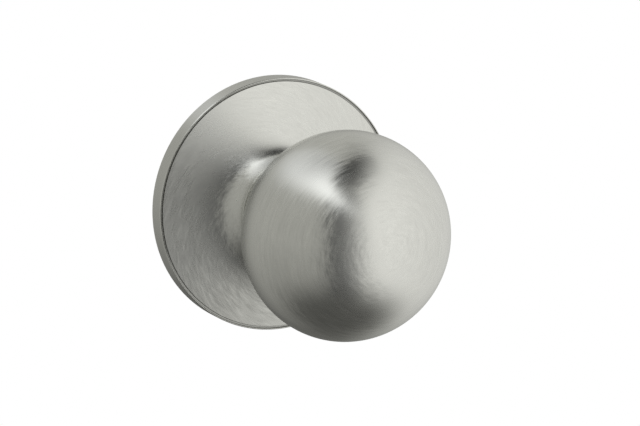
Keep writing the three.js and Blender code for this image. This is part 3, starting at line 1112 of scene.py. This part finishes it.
class Studio(Nodes):
    """The studio as a colour for each direction, laid on in layers. A heading is in degrees round Z
    from the door's outward direction, rising to the right, and a height in degrees above level.
    Every edge is soft, so it is a pair: where it starts and where it ends."""

    def __init__(self, tree):
        super().__init__(tree)
        direction = self.add("ShaderNodeTexCoord").outputs["Generated"]
        x, y, z = self.add("ShaderNodeSeparateXYZ", {0: direction}).outputs
        self.heading = self.math("DEGREES", self.math("ARCTAN2", x, self.math("MULTIPLY", y, -1.0)))
        self.height = self.math("DEGREES", self.math("ARCSINE", z))
        self.colour = None

    def rise(self, value, low, high):
        return self.ramp(value, low, high, 0.0, 1.0, smooth=True)

    def fall(self, value, low, high):
        return self.ramp(value, low, high, 1.0, 0.0, smooth=True)

    def product(self, *factors):
        total = factors[0]
        for factor in factors[1:]:
            total = self.math("MULTIPLY", total, factor)
        return total

    def patch(self, left=None, right=None, bottom=None, top=None):
        """1 inside a patch bounded by the given edges and 0 outside it."""
        edges = []
        if left:
            edges.append(self.rise(self.heading, *left))
        if right:
            edges.append(self.fall(self.heading, *right))
        if bottom:
            edges.append(self.rise(self.height, *bottom))
        if top:
            edges.append(self.fall(self.height, *top))
        return self.product(*edges)

    def above_tilted(self, tilt, towards):
        """Height above a level that is raised by tilt at the heading towards, and lowered behind it."""
        away = self.math("RADIANS", self.math("SUBTRACT", self.heading, towards))
        level = self.math("MULTIPLY", self.math("COSINE", away), tilt)
        return self.math("SUBTRACT", self.height, level)

    def lay(self, where, colour):
        """Paints colour over what is there, as far as where says."""
        self.colour = self.mix(where, self.colour, colour)


WARM = (1.0, 1.0, 0.94)
WHITE = (1.0, 1.0, 0.97)
COOL = (0.985, 1.0, 1.0)


def grey_walls(n):
    """Walls that darken downwards, with two stretches behind the door that darken faster."""
    n.colour = n.scale(WARM, n.ramp(n.height, -90, 0, 0.175, 0.449))
    behind_right = n.ramp(n.height, -5, 25, 0.14, 0.52, smooth=True)
    behind_left = n.ramp(n.height, -5, 25, 0.22, 0.5, smooth=True)
    n.lay(n.patch(left=(135, 160)), n.scale(WARM, behind_right))
    n.lay(n.patch(right=(-175, -145)), n.scale(WARM, behind_left))


def dark_gap(n):
    """The unlit gap between the lights, where the camera stands."""
    gap = n.patch(left=(-50.4, -26.4), right=(0.5, 6.5), bottom=(-84, -64), top=(45, 65))
    n.lay(gap, grey(0.09, COOL))


def dark_ceiling(n):
    n.lay(n.patch(left=(-50, -30), right=(97.4, 147.4), bottom=(57.2, 61.8)), grey(0.021, COOL))


def key_box(n):
    """The bright box, up on the left. Its lower edge is tilted, and its right end slants to the left
    as it rises."""
    lower_edge = n.rise(n.above_tilted(tilt=25.3, towards=-77.7), 15.6, 35.6)
    slant, middle_height = 1.16, 35
    slanted = n.math("MULTIPLY_ADD", n.math("SUBTRACT", n.height, middle_height), slant, n.heading)
    box = n.product(lower_edge, n.fall(slanted, -20, 4), n.patch(left=(-216, -136)))
    along = n.ramp(n.heading, -150, -30, 0.885, 1.8, smooth=True)
    upwards = n.ramp(n.height, 50, 90, 1.0, 0.43)
    n.lay(box, n.scale(COOL, n.product(along, upwards)))


def white_panel(n):
    """The wide panel on the right, with rounded corners and soft edges."""
    roundness = 2.7
    terms = []
    for value, middle, half in ((n.heading, 69.6, 74.5), (n.height, 2.7, 60.2)):
        share = n.math("ABSOLUTE", n.math("DIVIDE", n.math("SUBTRACT", value, middle), half))
        terms.append(n.math("POWER", share, roundness))
    out = n.math("POWER", n.math("ADD", *terms), 1 / roundness)
    across = n.ramp(n.heading, -4, 143, 1.03, 0.73)
    upwards = n.ramp(n.height, -90, 90, -0.05, 0.05)
    n.lay(n.fall(out, 0.73, 1.28), n.scale(WHITE, n.math("ADD", across, upwards)))


def dark_floor(n):
    n.lay(n.fall(n.above_tilted(tilt=6.3, towards=-58), -75, -35.6), grey(0.092, WARM))


def studio_world():
    """The soft studio that the metal reflects, with plain white behind the knob."""
    world = bpy.data.worlds.new("studio")
    bpy.context.scene.world = world
    world.use_nodes = True
    n = Studio(world.node_tree)
    for layer in (grey_walls, dark_gap, dark_ceiling, key_box, white_panel, dark_floor):
        layer(n)
    lighting = n.add("ShaderNodeBackground", {"Color": n.colour, "Strength": 1.0})
    backdrop = n.add("ShaderNodeBackground", {"Color": grey(1.0), "Strength": 1.0})
    seen = n.add("ShaderNodeLightPath").outputs["Is Camera Ray"]
    both = n.add("ShaderNodeMixShader", {0: seen, 1: lighting.outputs[0], 2: backdrop.outputs[0]})
    n.add("ShaderNodeOutputWorld", {0: both.outputs[0]})


FLOOR_Z = -0.45
FLOOR_HALF_SIDE = 6.0


def floor():
    """Plain white studio floor, well below the knob and burnt out to white."""
    bm = bmesh.new()
    bmesh.ops.create_grid(bm, x_segments=8, y_segments=8, size=FLOOR_HALF_SIDE)
    for v in bm.verts:
        v.co.z = FLOOR_Z
    data = bpy.data.meshes.new("studio_floor")
    bm.to_mesh(data)
    bm.free()
    obj = link("studio_floor", data)
    material, n, _ = new_material("studio_white")
    glow = n.add("ShaderNodeEmission", {"Color": grey(1.0), "Strength": 1.0})
    n.add("ShaderNodeOutputMaterial", {0: glow.outputs[0]})
    data.materials.append(material)
    obj.visible_glossy = False
    obj.visible_diffuse = False
    obj.visible_shadow = False


CAMERA_AZIMUTH = math.radians(-24.7)
CAMERA_ELEVATION = math.radians(12.14)
CAMERA_DISTANCE = 1.5
CAMERA_LENS = 323.6
SENSOR_WIDTH = 36.0
ROSE_ASIDE = Vector((-0.01305, 0.0032, 0))


def camera():
    """A long lens, to the left of the knob and a little above it, with the rose's middle a little
    left of and above the middle of the frame."""
    level = math.cos(CAMERA_ELEVATION)
    back = Vector(
        (
            math.sin(CAMERA_AZIMUTH) * level,
            -math.cos(CAMERA_AZIMUTH) * level,
            math.sin(CAMERA_ELEVATION),
        )
    )
    turn = (-back).to_track_quat("-Z", "Y")
    data = bpy.data.cameras.new("camera")
    data.sensor_width = SENSOR_WIDTH
    data.lens = CAMERA_LENS
    data.clip_start, data.clip_end = 0.1, 20.0
    obj = link("camera", data)
    obj.rotation_mode = "QUATERNION"
    obj.rotation_quaternion = turn
    rose_centre = Vector((0, DOOR_Y, 0))
    obj.location = rose_centre - turn @ ROSE_ASIDE + back * CAMERA_DISTANCE
    bpy.context.scene.camera = obj


studio_world()
floor()
camera()
bpy.context.scene.view_settings.view_transform = "Standard"
bpy.context.scene.view_settings.look = "None"
